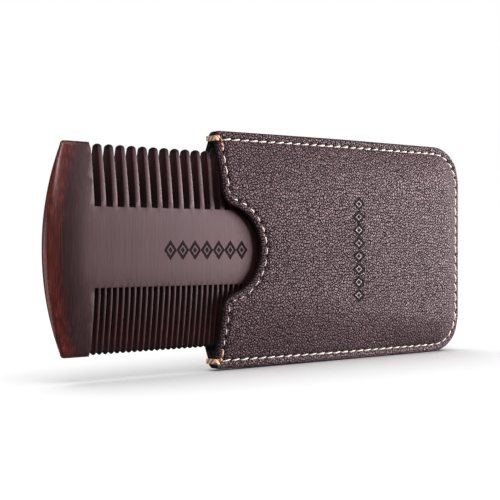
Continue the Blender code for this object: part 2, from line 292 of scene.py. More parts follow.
# %% [markdown]
# ## Leather
# The sleeve is full-grain leather with an embossed pebble grain, finished in a dark plum
# brown. Pebbles about 0.9 mm across catch the light on their tops, where the colour is also
# painted lighter as painted highlight, and hold dark dye in their valleys, where the colour
# is also darkened as painted shade, so one pattern drives the colour, the bump and the
# roughness. The cut edges are burnished nearly black, and the stitch holes are painted dark
# as painted shade: both follow attributes that the panel's mesh carries.

# %% Leather material
PEBBLE = 0.90 * MM
PEBBLE_VALLEY, CRUMB_VALLEY = 0.30, 0.30
CRUMBS_PER_PEBBLE = 2.3
CRUMB_DEPTH = 0.16
WANDER = 1.3
GRAIN_HEIGHT = 0.44 * MM
PRESS_X = MOUTH_X + 52.4
PRESS_LOZENGES = 8
# From valley to top: dark dye with painted shade in the valleys, and painted highlight on the pebble
# tops.
LEATHER_COLOURS = [(0.0, "#020101"), (0.40, "#0c0506"), (0.70, "#321e24"), (0.98, "#74525b")]


def leather_material(name):
    material, tree, shader = new_material(name, IOR=1.5, Specular_IOR_Level=0.43,
                                          Specular_Tint=(1.0, 0.74, 0.80, 1.0))
    place = add(tree, "ShaderNodeTexCoord").outputs["Object"]
    apart = add(tree, "ShaderNodeSeparateXYZ", {"Vector": place})
    flat = add(tree, "ShaderNodeCombineXYZ", {"X": apart.outputs["X"], "Y": apart.outputs["Z"]})
    wander = add(tree, "ShaderNodeTexNoise",
                 {"Vector": place, "Scale": 0.6 / PEBBLE, "Detail": 2.0})
    push = add(tree, "ShaderNodeVectorMath", (wander.outputs["Color"], (0.5, 0.5, 0.5)),
               operation="SUBTRACT")
    pushed = add(tree, "ShaderNodeVectorMath", (push, (WANDER * PEBBLE,) * 3, flat),
                 operation="MULTIPLY_ADD")
    valleys = []
    for per_pebble, width in ((1.0, PEBBLE_VALLEY), (CRUMBS_PER_PEBBLE, CRUMB_VALLEY)):
        cells = add(tree, "ShaderNodeTexVoronoi", {"Vector": pushed, "Scale": per_pebble / PEBBLE},
                    feature="DISTANCE_TO_EDGE", voronoi_dimensions="2D")
        top = add(tree, "ShaderNodeMapRange", {"Value": cells.outputs["Distance"], "From Max": width},
                  interpolation_type="SMOOTHERSTEP")
        valleys.append(add(tree, MATH, (1.0, top), operation="SUBTRACT"))
    uneven = add(tree, "ShaderNodeTexNoise", {"Vector": flat, "Scale": 0.9 / PEBBLE, "Detail": 2.0})
    depth = add(tree, MATH, (uneven.outputs["Fac"], 1.3, 0.1), operation="MULTIPLY_ADD")
    crease = add(tree, MATH, (valleys[0], depth), operation="MULTIPLY")
    crumbled = add(tree, MATH, (valleys[1], CRUMB_DEPTH, crease), operation="MULTIPLY_ADD")
    grain = add(tree, MATH, (1.0, crumbled), operation="SUBTRACT")

    cloud = add(tree, "ShaderNodeTexNoise", {"Vector": place, "Scale": 45.0, "Detail": 3.0})
    body = add(tree, RAMP, {"Fac": grain}, stops=LEATHER_COLOURS)
    shade = add(tree, RAMP, {"Fac": cloud.outputs["Fac"]},
                stops=[(0.3, "#d8cfd0"), (0.7, "#ffffff")])
    tinted = painted(tree, body.outputs[0], [(1.0, shade)], "MULTIPLY")
    # The stitch holes are painted near black: painted shade in the dimples.
    rim, hole = (add(tree, "ShaderNodeAttribute", attribute_name=label).outputs["Fac"]
                 for label in ("edge_paint", "stitch_hole"))
    on_front = add(tree, MATH, (apart.outputs["Y"], 0.0), operation="LESS_THAN")
    # The pressed lines are painted near black: partly the darkening of hot pressing and partly
    # painted shade in the grooves.
    heat_dark_and_shade, pressed_sheen = (add(tree, MATH, (mask, on_front), operation="MULTIPLY") for mask in
                       lozenge_chain(tree, place, ("Z", "X"), (MID_Z, PRESS_X), PRESS_LOZENGES))
    # Inside each lozenge the leather is painted lighter: a painted sheen of the pressed, smooth face.
    pressed_sheen = add(tree, MATH, (pressed_sheen, 0.8), operation="MULTIPLY")
    coloured_with_painted_light = painted(tree, tinted, [(pressed_sheen, "#b39aa1"), (heat_dark_and_shade, "#040202"),
                                  (rim, "#080405"), (hole, "#070304")])

    rough = add(tree, "ShaderNodeMapRange", {"Value": grain, "To Min": 1.0, "To Max": 0.41})
    for dull in (heat_dark_and_shade, hole, add(tree, MATH, (rim, 0.9), operation="MULTIPLY")):
        rough = add(tree, MATH, (rough, dull), operation="MAXIMUM")
    calm = add(tree, MATH, (1.0, rim), operation="SUBTRACT")
    calm = add(tree, MATH, (calm, 0.25), operation="MAXIMUM")
    pebbled = add(tree, MATH, (grain, calm), operation="MULTIPLY")
    height = add(tree, MATH, (heat_dark_and_shade, -2.0, pebbled), operation="MULTIPLY_ADD")
    bump = add(tree, "ShaderNodeBump", {"Height": height, "Strength": 1.0, "Distance": GRAIN_HEIGHT})
    feed(tree, shader, {"Base Color": coloured_with_painted_light, "Roughness": rough, "Normal": bump})
    return material


leather = leather_material("plum_brown_pebbled_leather")
print("made", leather.name)

# %% [markdown]
# ## Lining, threads
# The lining is a brushed microfibre, matte and almost black. The seams are sewn with a
# waxed cream polyester thread of 0.5 mm, and the two bartacks with a thicker copper
# brown one. Their fibres are finer than the picture shows, so the bump is drawn coarser
# than real fibre.

# %% Lining and thread materials
def lining_material():
    material, tree, shader = new_material("black_plum_microfibre", Roughness=0.95, Sheen_Weight=0.4)
    place = add(tree, "ShaderNodeTexCoord").outputs["Object"]
    nap = add(tree, "ShaderNodeTexNoise", {"Vector": place, "Scale": 2200.0, "Detail": 4.0})
    nap = nap.outputs["Fac"]
    body = add(tree, RAMP, {"Fac": nap}, stops=[(0.3, "#0d0809"), (0.75, "#2a1d20")])
    bump = add(tree, "ShaderNodeBump", {"Height": nap, "Strength": 0.5, "Distance": 0.1 * MM})
    feed(tree, shader, {"Base Color": body, "Normal": bump})
    return material


def thread_material(name, dark, pale, roughness, ply):
    """Twisted thread. ply is the spacing, in metres, of the grooves between its plies."""
    material, tree, shader = new_material(name, Roughness=roughness, Sheen_Weight=0.25)
    place = add(tree, "ShaderNodeTexCoord").outputs["Object"]
    groove = {"Vector": place, "Scale": 0.2 / ply, "Distortion": 2.5, "Detail": 2.0}
    fibre = add(tree, "ShaderNodeTexWave", groove, wave_type="BANDS", bands_direction="DIAGONAL")
    fibre = fibre.outputs["Fac"]
    # The ramp paints the grooves between plies dark as painted shade and the ply tops pale as painted
    # highlight.
    body = add(tree, RAMP, {"Fac": fibre}, stops=[(0.0, dark), (0.6, pale)])
    bump = add(tree, "ShaderNodeBump", {"Height": fibre, "Strength": 0.7, "Distance": 0.08 * MM})
    feed(tree, shader, {"Base Color": body, "Normal": bump})
    return material


microfibre = lining_material()
cream_thread = thread_material("cream_waxed_thread", "#dcc3a6", "#fff8ee", 0.5, 0.25 * MM)
copper_thread = thread_material("copper_brown_waxed_thread", "#7c3616", "#ffd0a6", 0.40, 0.55 * MM)
print("made", [made.name for made in (microfibre, cream_thread, copper_thread)])

# %% [markdown]
# ## Sandalwood
# The comb is sawn from quarter-cut red sandalwood with the grain running along the
# teeth, so that they don't snap. Fine straight fibres and short dark pores give it a
# vertical streak. The sanded faces look mauve grey, while the oiled round ends and the
# tooth walls, where the saw opened the wood, are red brown. A band of lozenges is
# burnt into the spine.

# %% Sandalwood material
BAND_X = MOUTH_X - 4.3
BAND_Z = COMB_Z - 0.3
BAND_LOZENGES = 7
FACE_COLOURS = [(0.25, "#1d0d0c"), (0.55, "#2f1717"), (0.8, "#412324")]
OPENED_COLOURS = [(0.25, "#270a07"), (0.6, "#69291d"), (0.85, "#a64a33")]


def sandalwood_material():
    material, tree, shader = new_material("oiled_red_sandalwood", IOR=1.5, Specular_IOR_Level=0.56,
                                          Specular_Tint=(1.0, 0.70, 0.77, 1.0))
    place = add(tree, "ShaderNodeTexCoord").outputs["Object"]
    streak, ring = [
        add(tree, "ShaderNodeTexNoise", {"Scale": 1.0, "Detail": detail, "Vector": add(
            tree, "ShaderNodeMapping", {"Vector": place, "Scale": scale})}).outputs["Fac"]
        for scale, detail in (((2600.0, 2600.0, 130.0), 3.0), ((420.0, 420.0, 22.0), 2.0))]
    face = add(tree, RAMP, {"Fac": streak}, stops=FACE_COLOURS)
    shade = add(tree, RAMP, {"Fac": ring}, stops=[(0.3, "#cdbcbc"), (0.7, "#ffffff")])
    sanded = painted(tree, face.outputs[0], [(1.0, shade)], "MULTIPLY")
    opened = add(tree, RAMP, {"Fac": streak}, stops=OPENED_COLOURS).outputs[0]
    # The gaps between the teeth are painted near black as painted shade.
    wall, gap, tip = (add(tree, "ShaderNodeAttribute", attribute_name=label).outputs["Fac"]
                      for label in ("opened_wood", "saw_gap", "tooth_tip"))
    burnt, _ = lozenge_chain(tree, place, ("X", "Z"), (BAND_X, BAND_Z), BAND_LOZENGES)
    # The tooth tips are painted darker towards their ends.
    wood = painted(tree, sanded, [(wall, opened), (gap, "#0c0303"),
                                  (tip, "#070303"), (burnt, "#0c0405")])

    rough = add(tree, "ShaderNodeMapRange", {"Value": streak, "To Min": 0.38, "To Max": 0.50})
    oiled = add(tree, MATH, (wall, -0.35, 1.0), operation="MULTIPLY_ADD")
    rough = add(tree, MATH, (rough, oiled), operation="MULTIPLY")
    for dark_mark in (burnt, tip, gap):
        rough = add(tree, MATH, (rough, dark_mark), operation="MAXIMUM")
    height = add(tree, MATH, (burnt, -3.0, streak), operation="MULTIPLY_ADD")
    bump = add(tree, "ShaderNodeBump", {"Height": height, "Strength": 0.35, "Distance": 0.05 * MM})
    feed(tree, shader, {"Base Color": wood, "Roughness": rough, "Normal": bump})
    return material


sandalwood = sandalwood_material()
print("made", sandalwood.name)

# %% [markdown]
# ## Outlines
# Both panels and the comb are flat outlines with a thickness that changes from place to
# place. An outline is made of arcs joined by straight runs, and it can be drawn at any
# inset, which gives rings inside it. The rings lie close together near the edge, where
# the leather turns over and the stitches pull it down.

# %% Arcs and straight runs
def mix(low, high, share):
    return low + (high - low) * share


def smooth(share):
    share = np.clip(share, 0.0, 1.0)
    return share * share * (3.0 - 2.0 * share)


def arc(centre, radius, start, end, spacing):
    """Points on an arc about `spacing` apart, both ends included. Angles in radians."""
    count = max(2, math.ceil(abs(end - start) * max(radius, 1.0) / spacing))
    return [(centre[0] + radius * math.cos(mix(start, end, i / count)),
             centre[1] + radius * math.sin(mix(start, end, i / count))) for i in range(count + 1)]


def joined(stretches, spacing, closed=True):
    """Stretches of points with points added along the straight runs between them."""
    points = []
    following = stretches[1:] + stretches[:1]
    for number, (stretch, after) in enumerate(zip(stretches, following)):
        points += stretch
        if number == len(stretches) - 1 and not closed:
            break
        start, end = stretch[-1], after[0]
        count = max(1, round(math.dist(start, end) / spacing))
        points += [(mix(start[0], end[0], i / count), mix(start[1], end[1], i / count))
                   for i in range(1, count)]
    return points


# %% Panel outline
RING_SPACING = 0.6


def round_corner(x, z, radius, inset, start):
    """Corner of a rectangle, a quarter turn from angle start, or a point once the inset uses it up.

    x and z are the corner's place on the outline itself."""
    toward_x = 1 if x < CLOSED_X / 2 + MOUTH_X / 2 else -1
    toward_z = 1 if z < MID_Z else -1
    if inset >= radius - 0.05:
        return [(x + toward_x * inset, z + toward_z * inset)]
    centre = (x + toward_x * radius, z + toward_z * radius)
    return arc(centre, radius - inset, start, start + math.pi / 2, RING_SPACING)


def notch(inset):
    """Half-round thumb notch and its two fillets, from the upper fillet to the lower one."""
    ahead_of = MOUTH_X + NOTCH_FILLET - NOTCH_X
    rise = math.sqrt((NOTCH_RADIUS + NOTCH_FILLET) ** 2 - ahead_of ** 2)
    turn = math.atan2(rise, ahead_of)
    fillet = NOTCH_FILLET - inset
    upper = (MOUTH_X + NOTCH_FILLET, MID_Z + rise)
    lower = (MOUTH_X + NOTCH_FILLET, MID_Z - rise)
    top = arc(upper, fillet, math.pi, math.pi + turn, RING_SPACING)
    hollow = arc((NOTCH_X, MID_Z), NOTCH_RADIUS + inset, turn, -turn, RING_SPACING)
    low = arc(lower, fillet, math.pi - turn, math.pi, RING_SPACING)
    return top + hollow[1:-1] + low


def panel_outline(front, inset):
    stretches = [round_corner(MOUTH_X, 0.0, MOUTH_RADIUS, inset, math.pi),
                 round_corner(CLOSED_X, 0.0, CLOSED_RADIUS, inset, -math.pi / 2),
                 round_corner(CLOSED_X, HEIGHT, CLOSED_RADIUS, inset, 0.0),
                 round_corner(MOUTH_X, HEIGHT, MOUTH_RADIUS, inset, math.pi / 2)]
    if front:
        stretches.append(notch(inset))
    return joined(stretches, RING_SPACING)


print("front outline has", len(panel_outline(True, 0.0)), "points")

# %% [markdown]
# ## The bulge of a panel
# A flat leather panel that has dried round a comb keeps its shape: flat along the seam,
# then rising to a crown. On the front the mouth stands open wider than the rest, so that
# a finger gets in. The wall is three layers, lining, glue and leather, and each surface
# lies a fixed distance from the lining's inner face, square to it.

# %% Bulge
HALF_GAP = 0.15
LINING_OUT = 0.45
LEATHER_IN = 0.70
LEATHER_OUT = 1.60
FLANGE = 2.6
FOOT_SOFTNESS = 1.0
FOOT_POWER = 1.6
CLOSED_REACH = 9.0
CLOSED_DEPTH = 4.3
MOUTH_SHAPE = {True: (5.0, 20.0), False: (4.3, 12.0)}
PROBE = 0.05


def outward(front):
    """Sign of the way out of the sleeve along Y."""
    return -1.0 if front else 1.0


def sewn_distance(x, z):
    """Distance inwards from the three sewn sides."""
    to_end = CLOSED_X - x
    to_long = np.minimum(z, HEIGHT - z)
    in_corner = (to_end < CLOSED_RADIUS) & (to_long < CLOSED_RADIUS)
    round_part = CLOSED_RADIUS - np.hypot(CLOSED_RADIUS - to_end, CLOSED_RADIUS - to_long)
    return np.where(in_corner, round_part, np.minimum(to_end, to_long))


def bulge(front, x, z):
    depth, reach = MOUTH_SHAPE[front]
    along = smooth((x - MOUTH_X) / LENGTH)
    inward = sewn_distance(x, z) - FLANGE
    softened = 0.5 * (inward + np.hypot(inward, FOOT_SOFTNESS))
    climbed = np.minimum(softened / mix(reach, CLOSED_REACH, along), 1.0)
    return mix(depth, CLOSED_DEPTH, along) * (1.0 - (1.0 - climbed) ** FOOT_POWER)


def wall_y(front, x, z, out):
    """World y, in millimetres, of the surface that lies `out` from the lining's inner face."""
    x, z = np.asarray(x, float), np.asarray(z, float)
    here = bulge(front, x, z)
    slope_x = (bulge(front, x + PROBE, z) - here) / PROBE
    slope_z = (bulge(front, x, z + PROBE) - here) / PROBE
    return outward(front) * (HALF_GAP + here + out * np.sqrt(1.0 + slope_x ** 2 + slope_z ** 2))


# %% [markdown]
# ## A solid between two surfaces
# Rings and inner points are joined into triangles by a constrained Delaunay
# triangulation, which keeps every ring whole. The same triangles make the near and the
# far surface, so the two can never cross, and a wall along the outline closes them.

# %% Slab builder
def well_inside(points, loop, clear):
    """The points that lie inside a loop, at least `clear` from it."""
    points, loop = np.array(points), np.array(loop)
    start, end = loop, np.roll(loop, -1, axis=0)
    run = end - start
    keep = []
    for block in np.array_split(points, max(1, len(points) // 400)):
        off = block[:, None, :] - start[None]
        share = np.clip((off * run).sum(2) / (run ** 2).sum(1), 0.0, 1.0)
        away = np.linalg.norm(off - share[..., None] * run, axis=2).min(1)
        above = (start[:, 1] > block[:, None, 1]) != (end[:, 1] > block[:, None, 1])
        slope = run[:, 0] / np.where(run[:, 1] == 0.0, 1.0, run[:, 1])
        crossing = start[:, 0] + (block[:, None, 1] - start[:, 1]) * slope
        inside = (above & (block[:, None, 0] < crossing)).sum(1) % 2 == 1
        keep.append(block[inside & (away > clear)])
    return [tuple(point) for point in np.concatenate(keep)]


def slab(name, rings, fill, near_y, far_y, material, marks=None):
    """Closed mesh over an outline. rings holds (inset, points), the outline first.

    near_y and far_y give y for arrays x, z and inset; marks gives extra attributes."""
    flat, insets, edges = [], [], []
    for inset, loop in rings:
        first = len(flat)
        flat += loop
        insets += [inset] * len(loop)
        edges += [(first + i, first + (i + 1) % len(loop)) for i in range(len(loop))]
    insets += [rings[-1][0] + 1.0] * len(fill)
    flat += fill
    rim = len(rings[0][1])
    points, _, triangles, origins, _, _ = delaunay_2d_cdt(
        [Vector(point) for point in flat], edges, [list(range(rim))], 1, 1e-5)
    used = sorted({i for triangle in triangles for i in triangle})
    place = {old: new for new, old in enumerate(used)}
    x = np.array([points[i].x for i in used])
    z = np.array([points[i].y for i in used])
    inset = np.array([insets[origins[i][0]] for i in used])
    near, far = near_y(x, z, inset), far_y(x, z, inset)
    count = len(used)
    made_from = {origin: place[i] for i in used for origin in origins[i]}
    border = [made_from[i] for i in range(rim)]
    faces = [[place[i] for i in triangle] for triangle in triangles]
    faces += [[place[i] + count for i in reversed(triangle)] for triangle in triangles]
    faces += [[a, a + count, b + count, b] for a, b in zip(border, border[1:] + border[:1])]
    mesh = bpy.data.meshes.new(name)
    corners = np.concatenate([np.stack([x, near, z], 1), np.stack([x, far, z], 1)]) * MM
    mesh.from_pydata(corners.tolist(), [], faces)
    mesh.shade_smooth()
    for label, values in (marks(x, z, inset) if marks else {}).items():
        attribute = mesh.attributes.new(label, "FLOAT", "POINT")
        attribute.data.foreach_set("value", np.concatenate(values).astype(np.float32))
    mesh.materials.append(material)
    print(name, "has", len(mesh.polygons), "faces")
    return placed(name, mesh)


# %% [markdown]
# The mouth stands open, and an open mouth draws its two long edges together: by half a
# millimetre each at the mouth, and by nothing halfway along. Every piece of the sleeve
# goes through this, so that they stay together.

# %% Draw the mouth in
DRAWN_SHARE = 0.0138
DRAWN_LENGTH = 50.0
DRAWN_POWER = 1.2


def draw_in(piece):
    mesh = piece.data
    places = np.empty(len(mesh.vertices) * 3, np.float32)
    mesh.vertices.foreach_get("co", places)
    places = places.reshape(-1, 3)
    along = np.clip((places[:, 0] / MM - MOUTH_X) / DRAWN_LENGTH, 0.0, 1.0)
    share = DRAWN_SHARE * (1.0 - along) ** DRAWN_POWER
    places[:, 2] = mix(places[:, 2], MID_Z * MM, share)
    mesh.vertices.foreach_set("co", places.ravel())
    mesh.update()


# %% [markdown]
# ## Stitch lines
# The seam is sewn 2.5 mm from the edge, with 3.3 mm from hole to hole. Each stitch line
# is a path of points, and the holes divide it evenly. The panels need the holes too,
# because each one is a dimple, so the lines come before the leather.

# %% Stitch lines and holes
STITCH_MARGIN = 2.5
MOUTH_MARGIN = 2.0
STITCH_PITCH = 3.3
SEAM_START = 2.9
MOUTH_STITCH_START = 6.4
BARTACK_HOLES = ((2.2, 2.5), (2.05, 5.9))


def seam_runs():
    """Along the bottom, round the closed end and back along the top."""
    start = MOUTH_X + SEAM_START
    corners = [round_corner(CLOSED_X, 0.0, CLOSED_RADIUS, STITCH_MARGIN, -math.pi / 2),
               round_corner(CLOSED_X, HEIGHT, CLOSED_RADIUS, STITCH_MARGIN, 0.0)]
    ends = [(start, STITCH_MARGIN)], [(start, HEIGHT - STITCH_MARGIN)]
    return [joined([ends[0], *corners, ends[1]], RING_SPACING, closed=False)]


def mouth_runs(front):
    """From the bottom of the mouth to its top, and on the front round the notch."""
    x = MOUTH_X + MOUTH_MARGIN
    low, high = (x, MOUTH_STITCH_START), (x, HEIGHT - MOUTH_STITCH_START)
    if not front:
        return [[low, high]]
    radius = NOTCH_RADIUS + MOUTH_MARGIN
    turn = math.acos((x - NOTCH_X) / radius)
    hollow = arc((NOTCH_X, MID_Z), radius, -turn, turn, RING_SPACING)
    return [[low, hollow[0]], hollow, [hollow[-1], high]]


def evenly(path, pitch):
    """Points that divide a path into equal steps of about one pitch."""
    path = np.array(path)
    run = np.concatenate([[0.0], np.cumsum(np.linalg.norm(np.diff(path, axis=0), axis=1))])
    marks = np.linspace(0.0, run[-1], round(run[-1] / pitch) + 1)
    return np.stack([np.interp(marks, run, path[:, 0]), np.interp(marks, run, path[:, 1])], 1)


def holes_of(runs):
    return [evenly(run, STITCH_PITCH) for run in runs]


bartack_holes = [(MOUTH_X + x, height) for x, z in BARTACK_HOLES for height in (z, HEIGHT - z)]
holes = {front: np.concatenate([*holes_of(seam_runs() + mouth_runs(front)), bartack_holes])
         for front in (True, False)}
print("front panel has", len(holes[True]), "stitch holes")

# %% [markdown]
# ## Leather panels
# A panel's edge is turned in over the lining, so its rim is round and as thick as the
# whole wall; at the mouth it is rolled wider. The stitches draw a shallow channel, the
# strip outside it puffs up a little, and each hole is a dimple. The bowed end of the comb
# has printed itself near the closed end: inside that bow the leather stands a little
# higher. Slow waves of about a tenth of a millimetre keep the crown from looking machined.

# %% Leather relief
RIM_DEPTH = 0.75
RIM_REACH = 0.75
MOUTH_RIM_REACH = 1.8
INNER_RIM_RADIUS = 0.45
CHANNEL_DEPTH = 0.28
CHANNEL_WIDTH = 0.62
HOLE_DEPTH = 0.70
HOLE_RADIUS = 0.50
PUFF, PUFF_INSET, PUFF_WIDTH = 0.16, 1.1, 0.7
WAVE, WAVE_INSET, WAVE_FADE = 0.10, 3.0, 2.0
EDGE_PAINT_WIDTH = 0.30
PRINT_X = CLOSED_X - 5.6
PRINT_BOW = 7.0
PRINT_HALF = 27.0
PRINT_WIDTH = 1.3
PRINT_DEPTH = 0.50


def rounding(inset, reach, depth):
    """How far a rounded edge has dropped at a distance inset from the outline."""
    share = np.clip(1.0 - inset / reach, 0.0, 1.0)
    return depth * (1.0 - np.sqrt(1.0 - share ** 2))


def hole_mask(front, x, z):
    off = np.hypot(x[:, None] - holes[front][:, 0], z[:, None] - holes[front][:, 1])
    return np.exp(-(off.min(1) / HOLE_RADIUS) ** 2)


def leather_relief(front, x, z, inset):
    """Height added to the flat leather face, in millimetres."""
    channel = np.exp(-((inset - STITCH_MARGIN) / CHANNEL_WIDTH) ** 2)
    puff = np.exp(-((inset - PUFF_INSET) / PUFF_WIDTH) ** 2)
    wave = np.sin(x / 7.3 + 0.6 * np.sin(z / 9.1)) * np.sin(z / 8.7 + 1.0)
    wave = wave + 0.5 * np.sin(x / 3.9 + z / 5.3)
    height = PUFF * puff - CHANNEL_DEPTH * channel
    height = height + WAVE * wave * smooth((inset - WAVE_INSET) / WAVE_FADE)
    from_seam = smooth((sewn_distance(x, z) - 1.0) / 2.0)
    near_mouth = x < NOTCH_X + NOTCH_RADIUS + 3.0
    rim_reach = np.where(near_mouth, mix(RIM_REACH, MOUTH_RIM_REACH, from_seam), RIM_REACH)
    height = height - HOLE_DEPTH * hole_mask(front, x, z) - rounding(inset, rim_reach, RIM_DEPTH)
    from_middle = np.abs(z - MID_Z)
    comb_end = PRINT_X - PRINT_BOW * (from_middle / PRINT_HALF) ** 2
    inside = smooth((comb_end - x) / PRINT_WIDTH + 0.5)
    return height - PRINT_DEPTH * (1.0 - inside) * smooth((PRINT_HALF + 3.0 - from_middle) / 5.0)


# %% Make the leather panels
RING_INSETS = (0.0, 0.06, 0.16, 0.32, 0.55, 0.85, 1.2, 1.6,
               1.95, 2.2, 2.4, 2.6, 2.85, 3.2, 3.7, 4.3)
FILL_SPACING = 1.5
ROW_STEP = 0.87


def grid(low_x, high_x, low_z, high_z, spacing):
    """Rows of points in a triangular pattern."""
    rows = round((high_z - low_z) / (spacing * ROW_STEP))
    points = []
    for row in range(rows + 1):
        z = mix(low_z, high_z, row / rows)
        shift = spacing / 2 if row % 2 else 0.0
        points += [(x + shift, z) for x in np.arange(low_x, high_x, spacing)]
    return points


def leather_panel(name, front):
    rings = [(inset, panel_outline(front, inset)) for inset in RING_INSETS]
    side = outward(front)

    def outer(x, z, inset):
        return wall_y(front, x, z, LEATHER_OUT) + side * leather_relief(front, x, z, inset)

    def inner(x, z, inset):
        tucked = smooth((inset - 1.0) / 0.5) * LEATHER_IN
        turned = rounding(inset, INNER_RIM_RADIUS, INNER_RIM_RADIUS)
        return wall_y(front, x, z, tucked) + side * turned

    def marks(x, z, inset):
        paint = 1.0 - smooth((inset - 0.03) / EDGE_PAINT_WIDTH)
        # Marks the stitch holes for their painted shade.
        pricked = np.clip(hole_mask(front, x, z) * 1.5, 0.0, 1.0)
        nothing = np.zeros(len(x))
        pairs = {"edge_paint": (paint, np.maximum(paint, 0.6)), "stitch_hole": (pricked, nothing)}
        return pairs if front else {label: pair[::-1] for label, pair in pairs.items()}

    near, far = (outer, inner) if front else (inner, outer)
    fill = well_inside(grid(MOUTH_X, CLOSED_X, 0.0, HEIGHT, FILL_SPACING), rings[-1][1], 0.6)
    piece = slab(name, rings, fill, near, far, leather, marks)
    draw_in(piece)
    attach(piece, "sleeve")
    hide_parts("front_leather" if front else "back_leather")
    return piece


leather_panel("front_leather_panel", True)
leather_panel("back_leather_panel", False)

# %% [markdown]
# ## Linings
# The lining is cut 1.4 mm smaller than the panel all round, glued inside it, and held by
# the turned edge. It follows the bulge and it is only seen at the mouth.

# %% Make the linings
LINING_SETBACK = 1.4
LINING_ROUND = 0.12
LINING_SPACING = 2.0


def lining_sheet(name, front):
    insets = (LINING_SETBACK, LINING_SETBACK + LINING_ROUND, 2.0, 2.6, 3.2, 4.0)
    rings = [(inset, panel_outline(front, inset)) for inset in insets]

    def inner(x, z, inset):
        drop = rounding(inset - LINING_SETBACK, LINING_ROUND, LINING_ROUND)
        return wall_y(front, x, z, 0.0) + outward(front) * drop

    def outer(x, z, inset):
        return wall_y(front, x, z, LINING_OUT)

    near, far = (outer, inner) if front else (inner, outer)
    fill = well_inside(grid(MOUTH_X, CLOSED_X, 0.0, HEIGHT, LINING_SPACING), rings[-1][1], 0.8)
    piece = slab(name, rings, fill, near, far, microfibre)
    draw_in(piece)
    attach(piece, "sleeve")
    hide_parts("front_lining" if front else "back_lining")
    return piece


lining_sheet("front_microfibre_lining", True)
lining_sheet("back_microfibre_lining", False)

# %% [markdown]
# ## Stitches by Geometry Nodes
# A seam is one short stitch repeated some hundred times, which is what Geometry Nodes
# are for. The tree is given one point per stitch, with its direction as an attribute. It
# bends a thread so that both ends dive into the holes, and sets it on every point. Each
# stitch lies a little aslant, as a saddle stitch does, and turns and swells by a small
# random amount from a fixed seed.

# %% Stitch tree
def named_inputs(tree, inputs):
    """Gives a tree its inputs, each a kind and a starting value, and returns their sockets."""
    for name, (kind, value) in inputs.items():
        socket = tree.interface.new_socket(name=name, in_out="INPUT",
                                           socket_type="NodeSocket" + kind)
        if value is not None:
            socket.default_value = value
    return add(tree, "NodeGroupInput").outputs


def finished(tree, geometry, material):
    """Every tree ends alike: real geometry, smooth, with its material."""
    tree.interface.new_socket(name="Result", in_out="OUTPUT", socket_type="NodeSocketGeometry")
    real = add(tree, "GeometryNodeRealizeInstances", {"Geometry": geometry})
    smoothed = add(tree, "GeometryNodeSetShadeSmooth", {"Geometry": real})
    dressed = add(tree, "GeometryNodeSetMaterial", {"Geometry": smoothed, "Material": material})
    add(tree, "NodeGroupOutput", (dressed,))


def swept(tree, path, radius, sides):
    """Round thread of a given radius along a curve, with closed ends."""
    section = add(tree, "GeometryNodeCurvePrimitiveCircle", {"Resolution": sides, "Radius": radius})
    return add(tree, "GeometryNodeCurveToMesh",
               {"Curve": path, "Profile Curve": section, "Fill Caps": True})


STITCH_INPUTS = {"Places": ("Geometry", None), "Stitch Length": ("Float", 2.7 * MM),
                 "Thread Radius": ("Float", 0.24 * MM), "Dip": ("Float", 0.55 * MM),
                 "Slant": ("Float", 0.17), "Outward": ("Vector", (0.0, -1.0, 0.0)),
                 "Seed": ("Int", 1), "Thread": ("Material", None)}
SWAY = 0.06
LEAST_SWELL, MOST_SWELL = (0.94, 0.88, 0.9), (1.05, 1.12, 1.1)


def stitch_tree():
    tree = bpy.data.node_groups.new("stitches", "GeometryNodeTree")
    given = named_inputs(tree, STITCH_INPUTS)
    heading = add(tree, "GeometryNodeInputNamedAttribute", {"Name": "heading"},
                  data_type="FLOAT_VECTOR")
    along = add(tree, "FunctionNodeAlignRotationToVector", {"Vector": heading}, axis="X")
    facing = add(tree, "FunctionNodeAlignRotationToVector",
                 {"Rotation": along, "Vector": given["Outward"]}, axis="Z", pivot_axis="X")
    sway = add(tree, "FunctionNodeRandomValue", {2: -SWAY, 3: SWAY, "Seed": given["Seed"]},
               data_type="FLOAT")
    turn = add(tree, MATH, (sway.outputs[1], given["Slant"]), operation="ADD")
    spin = add(tree, "FunctionNodeEulerToRotation",
               (add(tree, "ShaderNodeCombineXYZ", {"Z": turn}),))
    turned = add(tree, "FunctionNodeRotateRotation", {"Rotation": facing, "Rotate By": spin},
                 rotation_space="LOCAL")

    reach = add(tree, MATH, (given["Stitch Length"], 0.5), operation="MULTIPLY")
    back = add(tree, MATH, (reach, -1.0), operation="MULTIPLY")
    down, rise = (add(tree, MATH, (given["Dip"], share), operation="MULTIPLY")
                  for share in (-1.0, 0.34))
    ends, handles = [], []
    for end in (back, reach):
        drawn_in = add(tree, MATH, (end, 0.8), operation="MULTIPLY")
        ends.append(add(tree, "ShaderNodeCombineXYZ", {"X": end, "Z": down}))
        handles.append(add(tree, "ShaderNodeCombineXYZ", {"X": drawn_in, "Z": rise}))
    bend = add(tree, "GeometryNodeCurvePrimitiveBezierSegment", {
        "Resolution": 7, "Start": ends[0], "Start Handle": handles[0],
        "End": ends[1], "End Handle": handles[1]})
    swell = add(tree, "FunctionNodeRandomValue",
                {0: LEAST_SWELL, 1: MOST_SWELL, "Seed": given["Seed"]}, data_type="FLOAT_VECTOR")
    sewn = add(tree, "GeometryNodeInstanceOnPoints", {
        "Points": given["Places"], "Instance": swept(tree, bend, given["Thread Radius"], 8),
        "Rotation": turned, "Scale": swell})
    finished(tree, sewn, given["Thread"])
    return tree


stitches = stitch_tree()
print("stitch tree has", len(stitches.nodes), "nodes")

# %% [markdown]
# A modifier's inputs are set by their identifiers, and the result is then turned into a
# plain mesh, so that nothing live is left on the piece.

